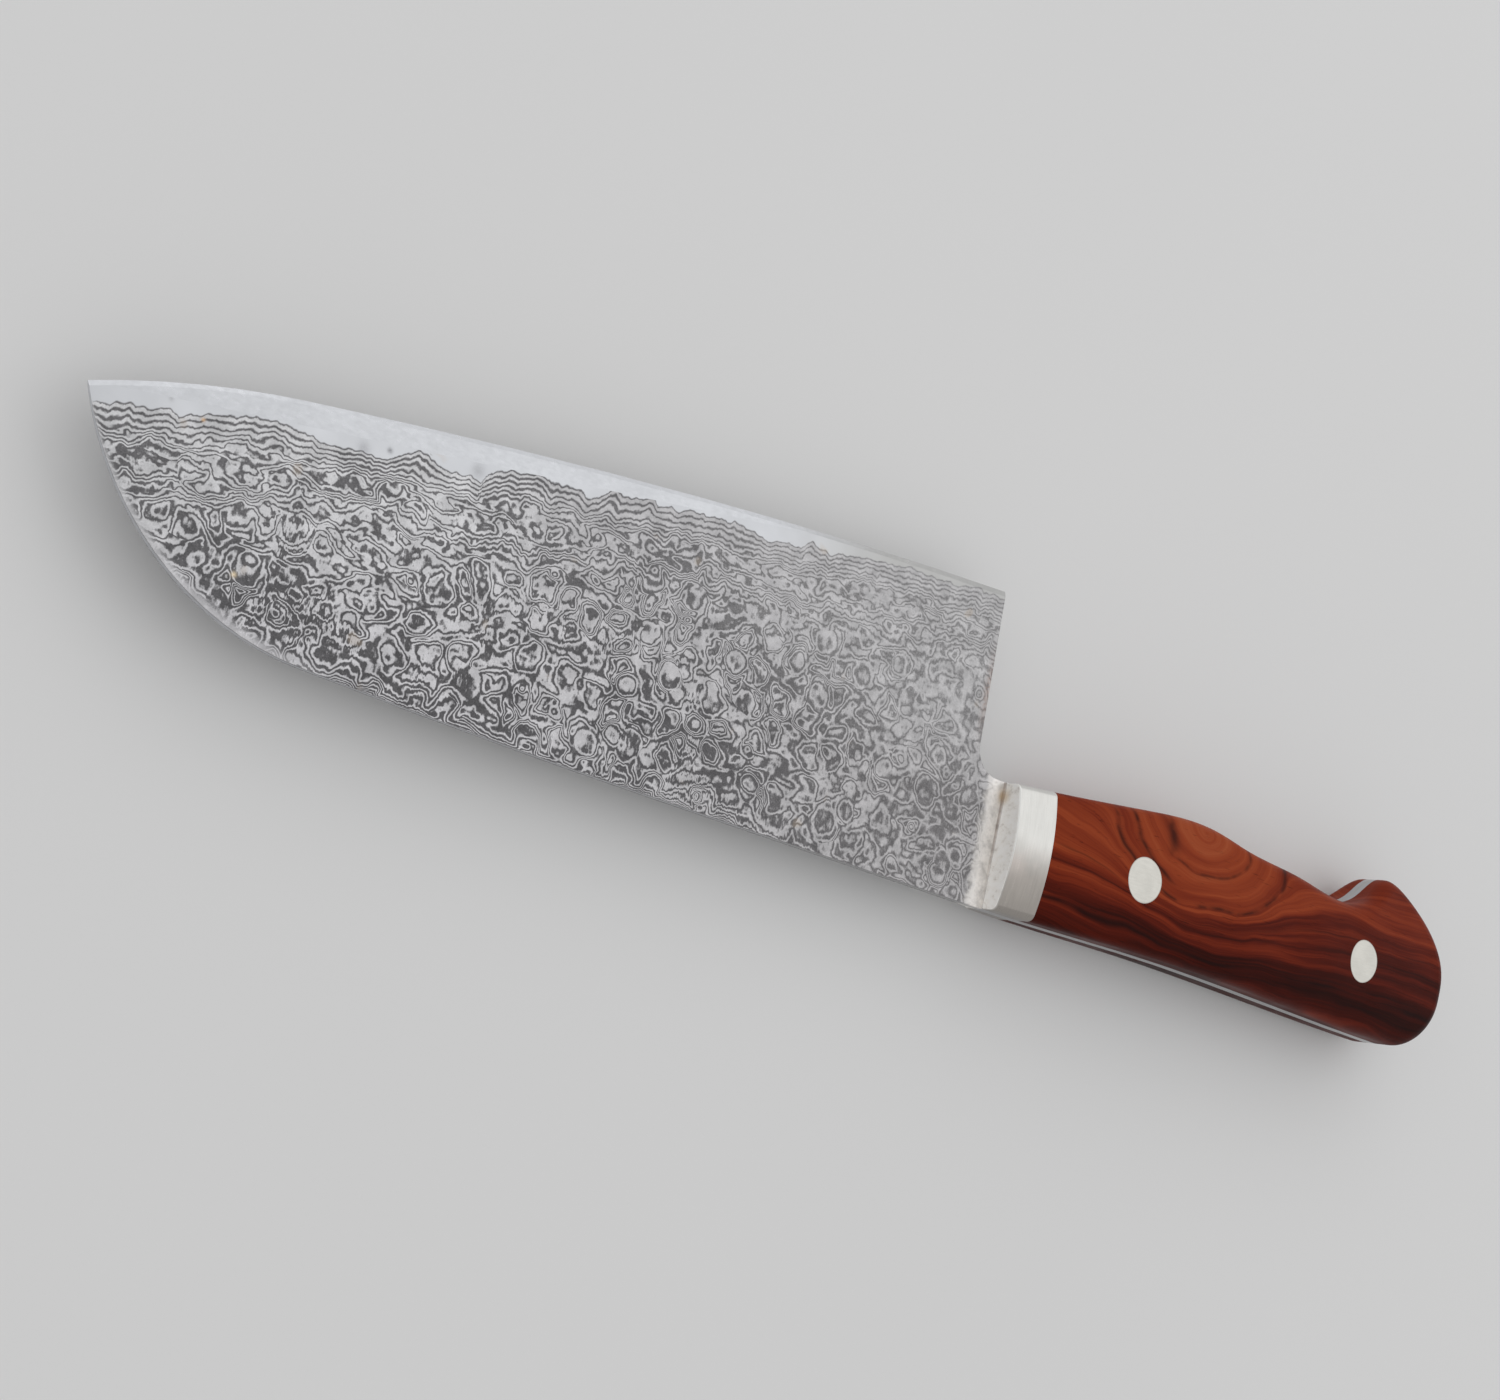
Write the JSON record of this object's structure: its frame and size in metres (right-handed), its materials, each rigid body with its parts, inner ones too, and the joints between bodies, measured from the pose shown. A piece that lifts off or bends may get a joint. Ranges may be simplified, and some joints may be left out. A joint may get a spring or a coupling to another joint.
{
  "type": "chef knife",
  "caption": "Santoku-shaped chef knife: tapered laminated blade with wavy-patterned sides, full tang, metal bolster and riveted, crowned wood scales ending in a finger hook.",
  "frame": {"origin": "centre of the bounding box at its lowest level: the knife's centre plane is horizontal and the lowest point of the left side of the handle is at Z = 0", "axes": "+X to the tip, +Y to the spine (the cutting edge faces -Y), +Z out of the knife's right side"},
  "size_m": [0.2986, 0.0554, 0.0183],
  "materials": {
    "core_steel": "satin ground hard steel",
    "patterned_steel": "etched, light and dark layers in waves and rings",
    "bolster_steel": "satin",
    "scale_wood": "oiled red-brown hardwood, satin",
    "rivet_steel": "satin, ground flush",
    "dowel_steel": "plain, hidden"
  },
  "bodies": {
    "root": {"blade_core": "core_steel", "cladding_right": "patterned_steel", "cladding_left": "patterned_steel", "bolster_right": "bolster_steel", "bolster_left": "bolster_steel", "scale_right": "scale_wood", "scale_left": "scale_wood", "front_rivet_tube": "rivet_steel", "front_rivet_shank": "rivet_steel", "rear_rivet_tube": "rivet_steel", "rear_rivet_shank": "rivet_steel", "bolster_dowel_upper": "dowel_steel", "bolster_dowel_lower": "dowel_steel"}
  },
  "joints": []
}
